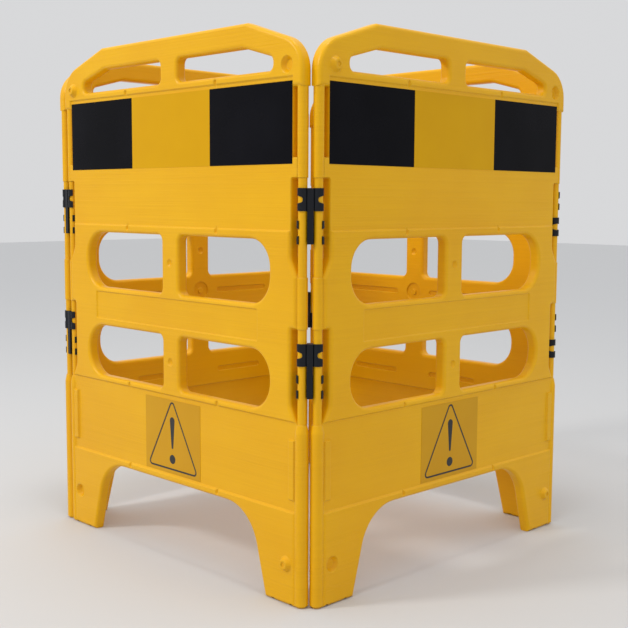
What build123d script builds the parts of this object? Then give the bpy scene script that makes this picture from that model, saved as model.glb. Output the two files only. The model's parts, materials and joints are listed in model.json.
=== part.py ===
from build123d import *
import os
from math import radians, tan

os.makedirs("parts", exist_ok=True)

# Folding four-panel barrier: moulded panels joined at the corners by two-tube hinge clips.
# One panel is drawn standing in the XZ plane, centred on X, its outer face towards -Y.

# overall sizes
hinge_pitch = 704.0        # between the two edge tubes of one panel
panel_height = 1000.0
thickness = 24.0
fold_gap = 2.0             # left between two panels that lie folded on each other
corner_split = 5.0         # degrees that the skewed corner clips stand off the panel line

# edges and rims
rim_radius = 7.0           # rounding of every moulded edge
edge_step = 4.0            # from tube centre in to the board's side edge
tube_radius = 7.8          # the bare tube that a clip snaps on
bead_relief = 1.4          # edge bead radius over tube radius
bead_gap = 7.6             # least room between the beads of two clipped panels
block_overhang = 0.2       # of the top corner block past the bead

# levels that are counted up from the ground
arch_height = 153.0
arch_foot_inset = 82.0     # from tube centre to the arch at the ground
arch_lean = 27.0           # how far the arch leg leans in over lean_height
lean_height = 100.0
arch_corner = 85.0
skirt_low, skirt_high = 165.0, 326.0
skirt_depth = 4.0
low_window_low, low_window_high = 335.0, 440.0
high_window_low, high_window_high = 519.0, 632.0
board_low = 646.0
rail_low, rail_high = 454.0, 511.0
rail_depth = 2.0
rail_inset = 101.0         # from tube centre to the end of the rail recess
rail_corner = 3.0
pad_low, pad_high = 186.0, 294.0
pad_inset, pad_end = 24.0, 6.0   # from the tube centre in to the pad's two sides
pad_root = 1.0             # how deep the pads root under the sunk field
nose_top = 306.0           # full-round edge up to here

# levels that are counted down from the top
board_top_drop = 97.0
board_depth = 3.0
tape_top_drop, tape_height = 105.0, 136.0
handle_low_drop, handle_high_drop = 85.0, 42.0
peg_drop = 78.0
knee_inset = 130.5         # from tube centre to the knee of the top edge
shoulder_slope = 18.0
corner_radius = 60.0
side_slot_low_drop, side_slot_high_drop = 230.0, 115.0
side_slot_inset = 16.0

# windows, from the tube centre and from the middle of the panel
window_inset = 72.0
post_half = 26.0
window_end_radius = 50.0
window_inner_radius = 13.0
handle_inset = 64.0
handle_knee_inset = 139.0
handle_end_height = 22.0
handle_radius = 11.0
handle_end_radius = 11.0

# hinge windows in the side edges
hinge_windows = ((320.0, 483.0), (570.0, 736.0))
ramp_height, ramp_radius = 30.0, 30.0
hinge_corner = 4.0
slot_clearance = 8.7       # beside a jaw that turns on the tube

# small features
ledge_slope = 40.0         # slope of the sunk fields' ledges
pad_taper = 30.0
nose_foot = 4.0            # bevel under the leg's round nose
peg_base, peg_tip, peg_height = 14.0, 8.0, 7.5
peg_inset, foot_peg_level = 27.0, 73.0
peg_hollow_radius, peg_hollow_depth = 4.5, 1.5
peg_seat_clearance = 0.5
dimple_radius, dimple_depth = 8.0, 4.0
post_dimple_levels = (389.0, 579.0)
notch_offset, notch_width, notch_height = 138.0, 9.0, 9.0
foot_notch_insets = (15.0, 61.0)
foot_notch_radius = 4.5
dish_radius, dish_depth, pip_radius = 21.5, 3.5, 6.0
dish_level = 483.0
groove_half_height, groove_depth = 6.0, 3.0
rail_groove_from, rail_groove_to = 48.0, 205.0
skirt_groove_from, skirt_groove_to, skirt_groove_level = 50.0, 184.0, 290.0
inner_skirt_high = 256.0

# stick-on sheets
sheet = 0.5
tape_square_half = 119.75  # half width of the middle tape square
tape_joint = 0.5
tape_end_inset = 16.0
tape_margin = 1.0          # flat board left bare past the end of the tape
label_half_width, label_low, label_high = 86.0, 170.0, 315.0

# hinge clip
jaw_clearance, jaw_wall = 0.3, 2.2
clip_levels = (366.0, 626.0)
clip_height, head_height, lower_jaw_height = 93.0, 38.0, 39.0
web_overlap, web_half_depth = 2.3, 9.4   # how far the web reaches into each jaw's wall
head_reach = 60.0          # degrees past the front of the tube
lower_reach = 130.0        # degrees past the back of the tube
finger_notch_mouth, finger_notch_root, finger_notch_round = 15.0, 7.0, 3.4
cut_over = 1.0             # how far a notch's cut starts outside the clip

# derived
half_pitch = hinge_pitch / 2
half_thick = thickness / 2
bead_radius = tube_radius + bead_relief
clip_pitch = max(thickness + fold_gap, 2 * bead_radius + bead_gap)
jaw_inner = tube_radius + jaw_clearance
jaw_outer = jaw_inner + jaw_wall
web_width = clip_pitch - 2 * (jaw_outer - web_overlap)
board_edge = half_pitch - edge_step
block_edge = half_pitch + bead_radius + block_overhang
slot_edge = half_pitch - jaw_outer - slot_clearance
arch_side = half_pitch - arch_foot_inset - arch_lean * arch_height / lean_height
shoulder_level = panel_height - side_slot_high_drop
slope_drop = (block_edge - half_pitch + knee_inset) * tan(radians(shoulder_slope))
deep = 3 * half_thick      # past both faces of a panel
stand = (Align.CENTER, Align.CENTER, Align.MIN)

with BuildPart() as board:
    with BuildSketch(Plane.XZ) as panel_half:
        with BuildLine():
            Polyline(
                (0, arch_height),
                (arch_side, arch_height),
                (half_pitch - arch_foot_inset, 0),
                (board_edge, 0),
                (board_edge, hinge_windows[0][0]),
                (slot_edge, hinge_windows[0][0] + ramp_height),
                (slot_edge, hinge_windows[0][1]),
                (board_edge, hinge_windows[0][1]),
                (board_edge, hinge_windows[1][0]),
                (slot_edge, hinge_windows[1][0] + ramp_height),
                (slot_edge, hinge_windows[1][1]),
                (board_edge, hinge_windows[1][1]),
                (board_edge, panel_height - side_slot_low_drop),
                (half_pitch - side_slot_inset, panel_height - side_slot_low_drop),
                (half_pitch - side_slot_inset, shoulder_level),
                (block_edge, shoulder_level),
                (block_edge, panel_height - slope_drop),
                (half_pitch - knee_inset, panel_height),
                (0, panel_height),
                close=True,
            )
        make_face()
        rounded = [(arch_side, arch_height, arch_corner),
                   (block_edge, panel_height - slope_drop, corner_radius)]
        for low, high in hinge_windows:
            rounded += [(slot_edge, low + ramp_height, ramp_radius), (slot_edge, high, hinge_corner)]
        for x, z, radius in rounded:
            fillet(panel_half.vertices().sort_by_distance((x, z))[0], radius)
        mirror(about=Plane.YZ)
    extrude(amount=half_thick, both=True)

    # two window pairs, round at their outer ends
    for low, high in ((low_window_low, low_window_high), (high_window_low, high_window_high)):
        with BuildSketch(Plane.XZ) as windows:
            inner_x, outer_x = post_half, half_pitch - window_inset
            with Locations(((inner_x + outer_x) / 2, (low + high) / 2)):
                Rectangle(outer_x - inner_x, high - low)
            fillet(windows.vertices().sort_by(Axis.X)[-2:], window_end_radius)
            fillet(windows.vertices().sort_by(Axis.X)[:2], window_inner_radius)
            mirror(about=Plane.YZ)
        extrude(amount=deep, both=True, mode=Mode.SUBTRACT)

    # hand holds under the top rail
    with BuildSketch(Plane.XZ) as hand_holds:
        handle_low, handle_high = panel_height - handle_low_drop, panel_height - handle_high_drop
        with BuildLine():
            Polyline(
                (post_half, handle_low),
                (half_pitch - handle_inset, handle_low),
                (half_pitch - handle_inset, handle_low + handle_end_height),
                (half_pitch - handle_knee_inset, handle_high),
                (post_half, handle_high),
                close=True,
            )
        make_face()
        fillet(hand_holds.vertices().sort_by(Axis.X)[-2:], handle_end_radius)
        fillet(hand_holds.vertices().sort_by(Axis.X)[:2], handle_radius)
        mirror(about=Plane.YZ)
    extrude(amount=deep, both=True, mode=Mode.SUBTRACT)

    faces_edges = board.edges().group_by(Axis.Y)
    fillet(faces_edges[0] + faces_edges[-1], rim_radius)

    # shallow fields sunk into both faces, with sloped ledges
    for face, inward, skirt_top in ((half_thick, -1, skirt_high), (-half_thick, 1, inner_skirt_high)):
        with BuildSketch(Plane.XZ.offset(face)):
            field_end = half_pitch - tape_end_inset + tape_margin
            field_half = field_end + board_depth * tan(radians(ledge_slope))
            with BuildLine():
                Polyline(
                    (0, board_low),
                    (block_edge + deep, board_low),
                    (block_edge + deep, shoulder_level),
                    (field_half, shoulder_level),
                    (field_half, panel_height - board_top_drop),
                    (0, panel_height - board_top_drop),
                    close=True,
                )
            make_face()
            mirror(about=Plane.YZ)
        extrude(amount=inward * board_depth, taper=ledge_slope, mode=Mode.SUBTRACT)
        with BuildSketch(Plane.XZ.offset(face)):
            with Locations((0, (skirt_low + skirt_top) / 2)):
                Rectangle(2 * (block_edge + deep), skirt_top - skirt_low)
        extrude(amount=inward * skirt_depth, taper=ledge_slope, mode=Mode.SUBTRACT)

    # recess along the middle rail of the outer face
    with BuildSketch(Plane.XZ.offset(half_thick)):
        with Locations((0, (rail_low + rail_high) / 2)):
            RectangleRounded(2 * (half_pitch - rail_inset), rail_high - rail_low, rail_corner)
    extrude(amount=-rail_depth, taper=ledge_slope, mode=Mode.SUBTRACT)

    # drain notches across the ledges
    notch_levels = (skirt_low, skirt_high, board_low, panel_height - board_top_drop)
    with BuildSketch(Plane.XZ.offset(half_thick)):
        with Locations([(side * notch_offset, level) for side in (-1, 1) for level in notch_levels]):
            SlotOverall(notch_height + notch_width, notch_width, rotation=90)
    extrude(amount=-skirt_depth, taper=ledge_slope, mode=Mode.SUBTRACT)

    # raised pads beside the kick board
    for face, outward in ((half_thick, 1), (-half_thick, -1)):
        with BuildSketch(Plane.XZ.offset(face - outward * (skirt_depth + pad_root))):
            pad_middle = half_pitch - (pad_inset + pad_end) / 2
            with Locations([(side * pad_middle, (pad_low + pad_high) / 2) for side in (-1, 1)]):
                Rectangle(pad_inset - pad_end, pad_high - pad_low)
        extrude(amount=outward * (skirt_depth + pad_root), taper=pad_taper)

    # bare hinge tubes, the beads that thicken them, and the full-round noses of the legs
    with Locations((-half_pitch, 0, 0), (half_pitch, 0, 0)):
        Cone(half_thick - nose_foot, half_thick, nose_foot, align=stand)
    with Locations((-half_pitch, 0, nose_foot), (half_pitch, 0, nose_foot)):
        Cylinder(half_thick, nose_top - nose_foot, align=stand)
    with Locations((-half_pitch, 0, nose_top), (half_pitch, 0, nose_top)):
        Cone(half_thick, bead_radius, hinge_windows[0][0] - nose_top, align=stand)
        Cylinder(tube_radius, shoulder_level - nose_top, align=stand)
    for low, high in ((hinge_windows[0][1], hinge_windows[1][0]),
                      (hinge_windows[1][1], shoulder_level + bead_radius)):
        with Locations((-half_pitch, 0, low), (half_pitch, 0, low)):
            Cylinder(bead_radius, high - low, align=stand)

    # scalloped feet
    with Locations([Location((side * (half_pitch - inset), 0, 0), (90, 0, 0))
                    for side in (-1, 1) for inset in foot_notch_insets]):
        Cylinder(foot_notch_radius, 2 * deep, mode=Mode.SUBTRACT)

    # nesting pegs and the seats that take them when panels are stacked
    peg_x = half_pitch - peg_inset
    peg_top = panel_height - peg_drop
    with Locations(Location((-peg_x, -half_thick, peg_top), (90, 0, 0)),
                   Location((peg_x, -half_thick, foot_peg_level), (90, 0, 0))):
        Cone(peg_base, peg_tip, peg_height, align=stand)
        with Locations((0, 0, peg_height - peg_hollow_depth)):
            Cylinder(peg_hollow_radius, peg_hollow_depth, align=stand, mode=Mode.SUBTRACT)
    with Locations(Location((peg_x, -half_thick, peg_top), (-90, 0, 0)),
                   Location((-peg_x, -half_thick, foot_peg_level), (-90, 0, 0))):
        Cone(peg_base + peg_seat_clearance, peg_tip + peg_seat_clearance,
             peg_height + peg_seat_clearance, align=stand, mode=Mode.SUBTRACT)

    # dimples on both faces of the middle post
    ball = (dimple_radius ** 2 + dimple_depth ** 2) / (2 * dimple_depth)
    ball_offset = half_thick + ball - dimple_depth
    with Locations([(0, side * ball_offset, level) for side in (-1, 1) for level in post_dimple_levels]):
        Sphere(ball, mode=Mode.SUBTRACT)

    # inner face: ring dish with its pip, and stiffening grooves with round ends
    with BuildSketch(Plane.XZ.offset(-half_thick)):
        with Locations((0, dish_level)):
            Circle(dish_radius)
            Circle(pip_radius, mode=Mode.SUBTRACT)
    extrude(amount=dish_depth, taper=ledge_slope / 2, mode=Mode.SUBTRACT)
    for start, end, level in ((rail_groove_from, rail_groove_to, dish_level),
                              (skirt_groove_from, skirt_groove_to, skirt_groove_level)):
        with BuildSketch(Plane.XZ.offset(-half_thick)):
            with Locations([(side * (start + end) / 2, level) for side in (-1, 1)]):
                SlotOverall(end - start, 2 * groove_half_height)
        extrude(amount=groove_depth, taper=ledge_slope / 2, mode=Mode.SUBTRACT)

# stick-on sheets, lying in the sunk fields of the outer face
board_face = half_thick - board_depth
skirt_face = half_thick - skirt_depth
tape_high = panel_height - tape_top_drop
tape_middle = tape_high - tape_height / 2
black_from = tape_square_half + tape_joint
black_to = half_pitch - tape_end_inset

with BuildPart() as black_tape:
    with BuildSketch(Plane.XZ.offset(board_face)):
        with Locations([(side * (black_from + black_to) / 2, tape_middle) for side in (-1, 1)]):
            Rectangle(black_to - black_from, tape_height)
    extrude(amount=sheet)

with BuildPart() as yellow_tape:
    with BuildSketch(Plane.XZ.offset(board_face)):
        with Locations((0, tape_middle)):
            Rectangle(2 * tape_square_half, tape_height)
    extrude(amount=sheet)

with BuildPart() as warning_label:
    with BuildSketch(Plane.XZ.offset(skirt_face)):
        with Locations((0, (label_low + label_high) / 2)):
            Rectangle(2 * label_half_width, label_high - label_low)
    extrude(amount=sheet)

# hinge clip: a web between two tubes, jaws round the outer side of both tubes at its head
# and round their inner side lower down, so that it snaps on and turns on either tube
with BuildPart() as clip:
    tube = (clip_pitch / 2, 0)
    head_foot = clip_height - head_height
    layers = (
        (0, lower_jaw_height, -90 - lower_reach),
        (lower_jaw_height, head_foot - lower_jaw_height, 0),
        (head_foot, head_height, 90 + head_reach),
    )
    for foot, height, sweep in layers:
        with BuildSketch(Plane.XY.offset(foot)):
            Rectangle(web_width, 2 * web_half_depth)
            if sweep:
                with BuildLine():
                    rim = CenterArc(tube, jaw_outer, 180, sweep)
                    Line(tube, rim @ 0)
                    Line(tube, rim @ 1)
                make_face()
                mirror(about=Plane.YZ)
            with Locations((-clip_pitch / 2, 0), tube):
                Circle(jaw_inner, mode=Mode.SUBTRACT)
        extrude(amount=height)
    for middle in (lower_jaw_height / 2, head_foot + head_height / 2):
        with BuildSketch(Plane.XZ) as finger_notch:
            with BuildLine():
                Polyline(
                    (clip_pitch / 2 + jaw_outer + cut_over, middle - finger_notch_mouth / 2),
                    (clip_pitch / 2, middle - finger_notch_root / 2),
                    (clip_pitch / 2, middle + finger_notch_root / 2),
                    (clip_pitch / 2 + jaw_outer + cut_over, middle + finger_notch_mouth / 2),
                    close=True,
                )
            make_face()
            fillet(finger_notch.vertices().sort_by(Axis.X)[:2], finger_notch_round)
            mirror(about=Plane.YZ)
        extrude(amount=deep, both=True, mode=Mode.SUBTRACT)

# tube centres, going round the ring from the front panel's left tube
skew = 180 - corner_split
clip_step = Vector(clip_pitch, 0)
front_left = Vector(0, 0)
front_right = Vector(hinge_pitch, 0)
right_front = front_right + clip_step.rotate(Axis.Z, 45)
right_rear = right_front + Vector(0, hinge_pitch)
rear_right = right_rear + clip_step.rotate(Axis.Z, skew)
rear_left = rear_right - Vector(hinge_pitch, 0)
left_rear = rear_left - clip_step.rotate(Axis.Z, 45)
left_front = left_rear - Vector(0, hinge_pitch)
ring_centre = (front_left + rear_right) / 2

panels = (
    ("front", front_left, front_right, 0),
    ("right", right_front, right_rear, 90),
    ("rear", rear_right, rear_left, 180),
    ("left", left_rear, left_front, 270),
)
pieces = (("panel", board), ("black_tape", black_tape),
          ("yellow_tape", yellow_tape), ("warning_label", warning_label))
for side, first, last, angle in panels:
    middle = (first + last) / 2 - ring_centre
    for name, piece in pieces:
        placed = piece.part.moved(Location(middle, (0, 0, angle)))
        placed.label = f"{side}_{name}"
        export_step(placed, f"parts/{side}_{name}.step")

corners = (
    ("front_right", front_right, right_front, 45),
    ("rear_right", right_rear, rear_right, skew),
    ("rear_left", rear_left, left_rear, 225),
    ("front_left", left_front, front_left, skew + 180),
)
for corner, first, last, angle in corners:
    middle = (first + last) / 2 - ring_centre
    for name, level in zip(("lower_clip", "upper_clip"), clip_levels):
        placed = clip.part.moved(Location(middle + Vector(0, 0, level), (0, 0, angle)))
        placed.label = f"{corner}_{name}"
        export_step(placed, f"parts/{corner}_{name}.step")
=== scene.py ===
import json
from math import cos, pi, radians, sin
import bmesh
import bpy
from mathutils import Matrix, Vector


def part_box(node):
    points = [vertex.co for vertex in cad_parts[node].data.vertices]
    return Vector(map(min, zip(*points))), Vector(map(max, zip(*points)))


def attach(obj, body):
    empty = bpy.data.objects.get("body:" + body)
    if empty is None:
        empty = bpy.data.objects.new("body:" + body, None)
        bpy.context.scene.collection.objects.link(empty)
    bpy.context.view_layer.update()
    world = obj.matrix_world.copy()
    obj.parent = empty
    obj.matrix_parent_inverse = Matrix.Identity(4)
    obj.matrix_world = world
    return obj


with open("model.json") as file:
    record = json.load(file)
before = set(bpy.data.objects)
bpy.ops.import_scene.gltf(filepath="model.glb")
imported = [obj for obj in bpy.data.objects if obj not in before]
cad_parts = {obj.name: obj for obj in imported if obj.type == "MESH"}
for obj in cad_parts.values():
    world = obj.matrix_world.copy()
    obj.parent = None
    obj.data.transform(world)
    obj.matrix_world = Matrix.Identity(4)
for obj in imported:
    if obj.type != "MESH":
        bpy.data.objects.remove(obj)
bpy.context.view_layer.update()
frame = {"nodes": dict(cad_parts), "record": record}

joints = {joint["name"]: joint for joint in frame["record"]["behaviour"]["joints"]}
sides = ("front", "right", "rear", "left")
corners = ("front_right", "rear_right", "rear_left", "front_left")
levels = ("upper", "lower")
outward = {"front": (0, -1, 0), "right": (1, 0, 0), "rear": (0, 1, 0), "left": (-1, 0, 0)}


# shader nodes: i0, i1 and so on name a node's socket by its number

def addNode(tree, kind, settings=None, **inputs):
    node = tree.nodes.new("ShaderNode" + kind)
    for key, value in (settings or {}).items():
        setattr(node, key, value)
    for key, value in inputs.items():
        numbered = key[0] == "i" and key[1:].isdigit()
        socket = node.inputs[int(key[1:])] if numbered else node.inputs[key]
        if isinstance(value, bpy.types.NodeSocket):
            tree.links.new(value, socket)
        else:
            socket.default_value = value
    return node


def remap(tree, value, fromRange, toRange):
    return addNode(tree, "MapRange", i0=value, i1=fromRange[0], i2=fromRange[1],
                   i3=toRange[0], i4=toRange[1]).outputs[0]


def product(tree, first, second):
    return addNode(tree, "Math", {"operation": "MULTIPLY"}, i0=first, i1=second).outputs[0]


def blend(tree, amount, first, second):
    return addNode(tree, "Mix", {"data_type": "RGBA"}, i0=amount, i6=first, i7=second).outputs[2]


def surfaceNoise(tree, scale, detail, rough=0.55, stretch=(1.0, 1.0, 1.0)):
    coords = addNode(tree, "TexCoord").outputs["Object"]
    mapping = addNode(tree, "Mapping", Vector=coords, Scale=stretch)
    return addNode(tree, "TexNoise", Vector=mapping.outputs["Vector"], Scale=scale,
                   Detail=detail, Roughness=rough).outputs["Fac"]


def newMaterial(name, **settings):
    # Base_Color and the like name a socket of the shader, with its spaces
    material = bpy.data.materials.new(name)
    material.use_nodes = True
    shader = material.node_tree.nodes["Principled BSDF"]
    for key, value in settings.items():
        shader.inputs[key.replace("_", " ")].default_value = value
    return material, material.node_tree, shader


# camera, light and floor

view = {
    "reach": (1.2763, -1.2456),       # from the near corner out to the camera
    "height": 0.6993,
    "turn": 45.487, "tilt": -6.083, "roll": 0.292,
    "lens": 61.29, "sensor": 36, "farLimit": 60,
}


def nearCorner():
    first = Vector(joints["front_right_fold"]["pos_m"])
    second = Vector(joints["right_panel_turn"]["pos_m"])
    return (first + second) / 2


def makeCamera():
    camera = bpy.data.objects.new("viewCamera", bpy.data.cameras.new("viewCamera"))
    bpy.context.scene.collection.objects.link(camera)
    place = nearCorner() + Vector((*view["reach"], 0))
    place.z = view["height"]
    camera.matrix_world = (Matrix.Translation(place)
                           @ Matrix.Rotation(radians(view["turn"]), 4, "Z")
                           @ Matrix.Rotation(radians(90 + view["tilt"]), 4, "X")
                           @ Matrix.Rotation(radians(view["roll"]), 4, "Z"))
    camera.data.lens = view["lens"]
    camera.data.sensor_width = view["sensor"]
    camera.data.clip_end = view["farLimit"]
    bpy.context.scene.camera = camera


studio = {
    "sky": (0.98, 0.985, 1.0), "horizonStrength": 0.70, "zenithStrength": 1.05,
    "skyGrade": (0.25, 0.9),          # heights, as shares of straight up, between which it brightens
    "floorHalf": 14.0, "paper": (0.58, 0.585, 0.59, 1), "paperRoughness": 0.8,
    # name, place, aim, size, power, colour
    "lamps": (
        ("keyLamp", (-1.3, -3.2, 3.0), (0.0, -0.2, 0.55), 0.6, 58, (1.0, 0.97, 0.92)),
        ("fillLamp", (3.6, -0.9, 1.9), (0.2, 0.0, 0.5), 1.4, 3, (1.0, 0.93, 0.84)),
        ("topLamp", (0.4, -0.4, 4.0), (0.0, 0.0, 0.0), 0.7, 26, (1.0, 0.98, 0.95)),
    ),
}


def makeLamp(name, place, aim, size, power, color):
    lamp = bpy.data.objects.new(name, bpy.data.lights.new(name, "AREA"))
    bpy.context.scene.collection.objects.link(lamp)
    lamp.data.size = size
    lamp.data.energy = power
    lamp.data.color = color
    lamp.location = place
    lamp.rotation_euler = (Vector(aim) - Vector(place)).to_track_quat("-Z", "Y").to_euler()


def makeWorld():
    world = bpy.data.worlds.new("studioSky")
    world.use_nodes = True
    back = world.node_tree.nodes["Background"]
    back.inputs["Color"].default_value = (*studio["sky"], 1)
    # brighter overhead than at the horizon, as under a studio's ceiling of light
    up = addNode(world.node_tree, "TexCoord").outputs["Generated"]
    height = addNode(world.node_tree, "SeparateXYZ", Vector=up).outputs["Z"]
    strength = remap(world.node_tree, height, studio["skyGrade"],
                     (studio["horizonStrength"], studio["zenithStrength"]))
    world.node_tree.links.new(strength, back.inputs["Strength"])
    bpy.context.scene.world = world
    bpy.context.scene.view_settings.view_transform = "Standard"


def makeFloor():
    # a flat sheet of paper, large enough for every view
    mesh = bpy.data.meshes.new("paperFloor")
    half = studio["floorHalf"]
    mesh.from_pydata([(-half, -half, 0), (half, -half, 0), (half, half, 0), (-half, half, 0)],
                     [], [(0, 1, 2, 3)])
    floor = bpy.data.objects.new("paperFloor", mesh)
    bpy.context.scene.collection.objects.link(floor)
    material, tree, shader = newMaterial("stagePaper", Base_Color=studio["paper"],
                                         Roughness=studio["paperRoughness"])
    mesh.materials.append(material)


# surface effects that the materials share

def newGroup(name, inputs, outputs):
    group = bpy.data.node_groups.new(name, "ShaderNodeTree")
    for label, kind in inputs:
        group.interface.new_socket(label, in_out="INPUT", socket_type="NodeSocket" + kind)
    for label, kind in outputs:
        group.interface.new_socket(label, in_out="OUTPUT", socket_type="NodeSocket" + kind)
    return group, group.nodes.new("NodeGroupInput"), group.nodes.new("NodeGroupOutput")


def placeGroup(tree, group, **inputs):
    node = tree.nodes.new("ShaderNodeGroup")
    node.node_tree = group
    for key, value in inputs.items():
        node.inputs[key].default_value = value
    return node


mouldGrain = {
    "lines": {"scale": 1.5, "detail": 4.0, "rough": 0.6, "stretch": (2.5, 2.5, 220.0)},
    "waves": {"scale": 3.0, "detail": 2.0, "stretch": (1.0, 1.0, 3.0)},
}


def makeGrainGroup():
    # fine level lines left by the mould's brushed face, broken by slow waves
    group, source, sink = newGroup("mouldGrain", [("Strength", "Float")],
                                   [("Height", "Float"), ("Mask", "Float")])
    mixed = product(group, surfaceNoise(group, **mouldGrain["lines"]),
                    surfaceNoise(group, **mouldGrain["waves"]))
    scaled = product(group, mixed, source.outputs["Strength"])
    group.links.new(scaled, sink.inputs["Height"])
    group.links.new(mixed, sink.inputs["Mask"])
    return group


toneDrift = {"clouds": {"scale": 4.0, "detail": 3.0}, "cloudRange": (0.35, 0.7)}


def makeToneGroup():
    # slow drift of tone over a surface
    group, source, sink = newGroup(
        "toneDrift", [("Color", "Color"), ("Deep", "Color"), ("Amount", "Float")],
        [("Color", "Color")])
    spread = remap(group, surfaceNoise(group, **toneDrift["clouds"]), toneDrift["cloudRange"], (0, 1))
    amount = product(group, spread, source.outputs["Amount"])
    mixed = blend(group, amount, source.outputs["Color"], source.outputs["Deep"])
    group.links.new(mixed, sink.inputs["Color"])
    return group


# settings for the painted edge highlight and the rounded edge normal
paintedEdgeHighlight = {
    "samples": 4,
    "turned": (0.995, 0.9),           # cosine between the true and the rounded normal
    "breaks": {"scale": 90.0, "detail": 2.0},
}


def makeEdgeGroup():
    # painted highlight: paler colour on the edges where a rounded normal leaves the true one, broken
    # up by fine noise; the rounded normal is passed on as well
    group, source, sink = newGroup("paintedEdgeHighlight", [("Radius", "Float"), ("Amount", "Float")],
                                   [("Mask", "Float"), ("Normal", "Vector")])
    soft = addNode(group, "Bevel", {"samples": paintedEdgeHighlight["samples"]},
                   Radius=source.outputs["Radius"]).outputs["Normal"]
    true = addNode(group, "NewGeometry").outputs["Normal"]
    dot = addNode(group, "VectorMath", {"operation": "DOT_PRODUCT"}, i0=soft, i1=true).outputs["Value"]
    edge = remap(group, dot, paintedEdgeHighlight["turned"], (0, 1))
    # the painted edge highlight, broken up by fine noise
    brokenHighlight = product(group, edge, surfaceNoise(group, **paintedEdgeHighlight["breaks"]))
    group.links.new(product(group, brokenHighlight, source.outputs["Amount"]), sink.inputs["Mask"])
    group.links.new(soft, sink.inputs["Normal"])
    return group


grainGroup = makeGrainGroup()
toneGroup = makeToneGroup()
edgeGroup = makeEdgeGroup()


# materials

panelPlastic = {
    "color": (0.84, 0.45, 0.002, 1), "deep": (0.78, 0.38, 0.001, 1), "driftAmount": 0.7,
    # the pale colour below is the painted edge highlight
    "paintedHighlight": (0.95, 0.66, 0.07, 1), "edgeRadius": 0.0022, "edgeAmount": 0.55,
    "streak": (0.68, 0.32, 0.001, 1), "streakRange": (0.18, 0.42), "streakAmount": 0.28,
    "ior": 1.5, "specular": 0.24, "roughness": (0.29, 0.43), "roughnessRange": (0.1, 0.5),
    "grain": 1.0, "grainBump": 0.6, "grainDepth": 0.0016,
}


def panelMaterial(look):
    material, tree, shader = newMaterial("mouldedPanel", IOR=look["ior"],
                                         Specular_IOR_Level=look["specular"])
    tone = placeGroup(tree, toneGroup, Color=look["color"], Deep=look["deep"],
                      Amount=look["driftAmount"])
    edge = placeGroup(tree, edgeGroup, Radius=look["edgeRadius"], Amount=look["edgeAmount"])
    grain = placeGroup(tree, grainGroup, Strength=look["grain"])
    streak = remap(tree, grain.outputs["Mask"], look["streakRange"], (0, look["streakAmount"]))
    grained = blend(tree, streak, tone.outputs["Color"], look["streak"])
    # paints the edge highlight onto the grained base colour
    paintedHighlight = blend(tree, edge.outputs["Mask"], grained, look["paintedHighlight"])
    tree.links.new(paintedHighlight, shader.inputs["Base Color"])
    rough = remap(tree, grain.outputs["Mask"], look["roughnessRange"], look["roughness"])
    tree.links.new(rough, shader.inputs["Roughness"])
    bump = addNode(tree, "Bump", Strength=look["grainBump"], Distance=look["grainDepth"],
                   Height=grain.outputs["Height"], Normal=edge.outputs["Normal"])
    tree.links.new(bump.outputs["Normal"], shader.inputs["Normal"])
    return material


sheetFinish = {
    "ior": 1.5, "driftAmount": 1.0,
    "creaseStretch": (1.0, 1.0, 0.35), "creaseTurn": (0.3, 0.4, 0.0), "creaseScale": 7.0,
    "creaseDetail": 2.0, "creaseDistortion": 0.6, "creaseDepth": 0.0012,
    "smear": {"scale": 9.0, "detail": 4.0, "stretch": (1.0, 1.0, 2.0)},
    "smearRange": (0.35, 0.7), "smearRoughness": 0.12,
}

sheets = {
    "black_tape": {"name": "blackSheet", "color": (0.0025, 0.0025, 0.004, 1),
                   "deep": (0.006, 0.006, 0.009, 1), "roughness": 0.24, "crease": 0.8,
                   "specular": 0.05},
    "yellow_tape": {"name": "yellowSheet", "color": (0.70, 0.375, 0.0005, 1),
                    "deep": (0.64, 0.325, 0.0005, 1), "roughness": 0.30, "crease": 0.15,
                    "specular": 0.10},
    "warning_label": {"name": "labelSheet", "color": (0.64, 0.33, 0.003, 1),
                      "deep": (0.58, 0.285, 0.002, 1), "roughness": 0.28, "crease": 0.2,
                      "specular": 0.2},
}


def sheetMaterial(look):
    # a stuck-on sheet, smooth but for slack creases that run down it
    material, tree, shader = newMaterial(look["name"], IOR=sheetFinish["ior"],
                                         Specular_IOR_Level=look["specular"])
    tone = placeGroup(tree, toneGroup, Color=look["color"], Deep=look["deep"],
                      Amount=sheetFinish["driftAmount"])
    tree.links.new(tone.outputs["Color"], shader.inputs["Base Color"])
    coords = addNode(tree, "TexCoord").outputs["Object"]
    bend = addNode(tree, "Mapping", Vector=coords, Scale=sheetFinish["creaseStretch"],
                   Rotation=sheetFinish["creaseTurn"])
    creases = addNode(tree, "TexNoise", {"noise_type": "RIDGED_MULTIFRACTAL"},
                      Vector=bend.outputs["Vector"], Scale=sheetFinish["creaseScale"],
                      Detail=sheetFinish["creaseDetail"], Distortion=sheetFinish["creaseDistortion"])
    bump = addNode(tree, "Bump", Strength=look["crease"], Distance=sheetFinish["creaseDepth"],
                   Height=creases.outputs["Fac"])
    tree.links.new(bump.outputs["Normal"], shader.inputs["Normal"])
    rough = remap(tree, surfaceNoise(tree, **sheetFinish["smear"]), sheetFinish["smearRange"],
                  (look["roughness"], look["roughness"] + sheetFinish["smearRoughness"]))
    tree.links.new(rough, shader.inputs["Roughness"])
    return material


clipPlastic = {
    # the clip's own near-black colour, then the colour of the painted edge highlight
    "color": (0.005, 0.0065, 0.010, 1), "paintedHighlight": (0.05, 0.055, 0.065, 1),
    "edgeRadius": 0.0009, "edgeAmount": 1.3,
    "ior": 1.5, "specular": 0.24, "roughness": (0.34, 0.49),
    "speckle": {"scale": 500.0, "detail": 2.0}, "speckleRange": (0.3, 0.7),
    "speckleBump": 0.25, "speckleDepth": 0.0002,
    "bevel": 0.0007, "bevelSegments": 2, "bevelAngle": 35,
}


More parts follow.
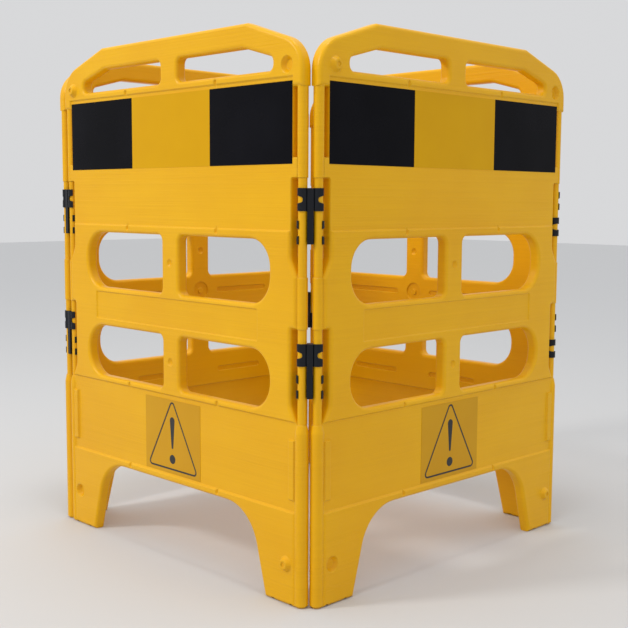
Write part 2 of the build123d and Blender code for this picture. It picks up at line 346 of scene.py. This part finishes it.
def clipMaterial(look):
    material, tree, shader = newMaterial("clipPlastic", IOR=look["ior"],
                                         Specular_IOR_Level=look["specular"])
    edge = placeGroup(tree, edgeGroup, Radius=look["edgeRadius"], Amount=look["edgeAmount"])
    # paints the edge highlight onto the near-black colour
    color = blend(tree, edge.outputs["Mask"], look["color"], look["paintedHighlight"])
    tree.links.new(color, shader.inputs["Base Color"])
    speckle = surfaceNoise(tree, **look["speckle"])
    rough = remap(tree, speckle, look["speckleRange"], look["roughness"])
    tree.links.new(rough, shader.inputs["Roughness"])
    bump = addNode(tree, "Bump", Strength=look["speckleBump"], Distance=look["speckleDepth"],
                   Height=speckle, Normal=edge.outputs["Normal"])
    tree.links.new(bump.outputs["Normal"], shader.inputs["Normal"])
    return material


ink = {
    "color": (0.008, 0.008, 0.009, 1), "faded": (0.03, 0.026, 0.02, 1), "driftAmount": 0.6,
    "smear": {"scale": 60.0, "detail": 3.0}, "smearRange": (0.3, 0.7), "roughness": (0.35, 0.50),
}


def inkMaterial(look):
    material, tree, shader = newMaterial("printInk")
    tone = placeGroup(tree, toneGroup, Color=look["color"], Deep=look["faded"],
                      Amount=look["driftAmount"])
    tree.links.new(tone.outputs["Color"], shader.inputs["Base Color"])
    rough = remap(tree, surfaceNoise(tree, **look["smear"]), look["smearRange"], look["roughness"])
    tree.links.new(rough, shader.inputs["Roughness"])
    return material


# moulded pieces

def dressNode(name, material):
    node = frame["nodes"][name]
    node.data.materials.clear()
    node.data.materials.append(material)
    return node


def softenEdges(node, look):
    bevel = node.modifiers.new("rounded", "BEVEL")
    bevel.width = look["bevel"]
    bevel.segments = look["bevelSegments"]
    bevel.limit_method = "ANGLE"
    bevel.angle_limit = radians(look["bevelAngle"])
    bevel.harden_normals = True


# printed warning sign: a rounded triangle outline and an exclamation mark

sign = {
    "width": 0.160, "height": 0.134, "base": 0.177, "corner": 0.008, "line": 0.0034,
    "barTop": 0.2815, "barLow": 0.219, "barWide": 0.0074, "barNarrow": 0.0026,
    "dotMiddle": 0.1985, "dotRadius": 0.0090, "lift": 0.00012,
    "cornerSteps": 8, "barTopSteps": 12, "barLowSteps": 8, "dotSteps": 32,
}


def insetTriangle(points, distance):
    inset = []
    for i, point in enumerate(points):
        here = Vector(point)
        before = (Vector(points[i - 1]) - here).normalized()
        after = (Vector(points[(i + 1) % 3]) - here).normalized()
        inset.append(here + (before + after).normalized() * distance / sin(before.angle(after) / 2))
    return inset


def roundedLoop(points, radius, steps):
    # the outline through the points with each corner turned into an arc
    loop = []
    count = len(points)
    for i, point in enumerate(points):
        here = Vector(point)
        before = (Vector(points[i - 1]) - here).normalized()
        after = (Vector(points[(i + 1) % count]) - here).normalized()
        half = before.angle(after) / 2
        middle = here + (before + after).normalized() * radius / sin(half)
        start = here + before * radius * cos(half) / sin(half) - middle
        end = here + after * radius * cos(half) / sin(half) - middle
        turn = start.angle_signed(end)
        for k in range(steps + 1):
            loop.append(middle + Matrix.Rotation(-turn * k / steps, 2) @ start)
    return loop


def arcPoints(middleHeight, radius, fromAngle, sweep, steps):
    angles = [fromAngle + sweep * k / steps for k in range(steps + 1)]
    return [Vector((radius * cos(angle), middleHeight + radius * sin(angle))) for angle in angles]


def triangleLoops():
    half, low = sign["width"] / 2, sign["base"]
    points = ((-half, low), (half, low), (0, low + sign["height"] + sign["corner"]))
    outer = roundedLoop(points, sign["corner"], sign["cornerSteps"])
    inner = roundedLoop(insetTriangle(points, sign["line"]), sign["corner"] - sign["line"],
                        sign["cornerSteps"])
    return outer, inner


def barLoop():
    wide, narrow = sign["barWide"], sign["barNarrow"]
    return (arcPoints(sign["barTop"] - wide, wide, 0, pi, sign["barTopSteps"])
            + arcPoints(sign["barLow"] + narrow, narrow, pi, pi, sign["barLowSteps"]))


def dotLoop():
    return arcPoints(sign["dotMiddle"], sign["dotRadius"], 0, 2 * pi, sign["dotSteps"])[:-1]


def joinLoops(form, first, second):
    # a closed strip of faces between two loops of as many points
    for i in range(len(first)):
        j = (i + 1) % len(first)
        form.faces.new((first[i], first[j], second[j], second[i]))


def makeSign(side, material):
    low, high = (Vector(corner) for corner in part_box(side + "_warning_label"))
    middle = (low + high) / 2
    out = Vector(outward[side])
    along = Vector((-out.y, out.x, 0))
    reach = abs(out.dot(high - low)) / 2
    face = middle + out * reach
    face.z = 0
    form = bmesh.new()

    def layers(loop):
        return [[form.verts.new(face + along * p.x + out * lift + Vector((0, 0, p.y))) for p in loop]
                for lift in (-sign["lift"], sign["lift"])]

    outer, inner = (layers(loop) for loop in triangleLoops())
    joinLoops(form, outer[0], outer[1])
    joinLoops(form, inner[0], inner[1])
    joinLoops(form, outer[0], inner[0])
    joinLoops(form, outer[1], inner[1])
    for loop in (barLoop(), dotLoop()):
        back, front = layers(loop)
        joinLoops(form, back, front)
        form.faces.new(back)
        form.faces.new(front)
    bmesh.ops.recalc_face_normals(form, faces=form.faces)
    mesh = bpy.data.meshes.new(side + "_warning_sign")
    form.to_mesh(mesh)
    form.free()
    piece = bpy.data.objects.new(side + "_warning_sign", mesh)
    bpy.context.scene.collection.objects.link(piece)
    mesh.materials.append(material)
    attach(piece, side)


makeCamera()
makeWorld()
makeFloor()
for lamp in studio["lamps"]:
    makeLamp(*lamp)
print("stage ready")

panelLook = panelMaterial(panelPlastic)
sheetLooks = {kind: sheetMaterial(look) for kind, look in sheets.items()}
for side in sides:
    dressNode(side + "_panel", panelLook)
    for kind, look in sheetLooks.items():
        dressNode(side + "_" + kind, look)
print("panels dressed")

clipLook = clipMaterial(clipPlastic)
for corner in corners:
    for level in levels:
        softenEdges(dressNode(corner + "_" + level + "_clip", clipLook), clipPlastic)
print("clips dressed")

inkLook = inkMaterial(ink)
for side in sides:
    makeSign(side, inkLook)
print("warning signs printed")
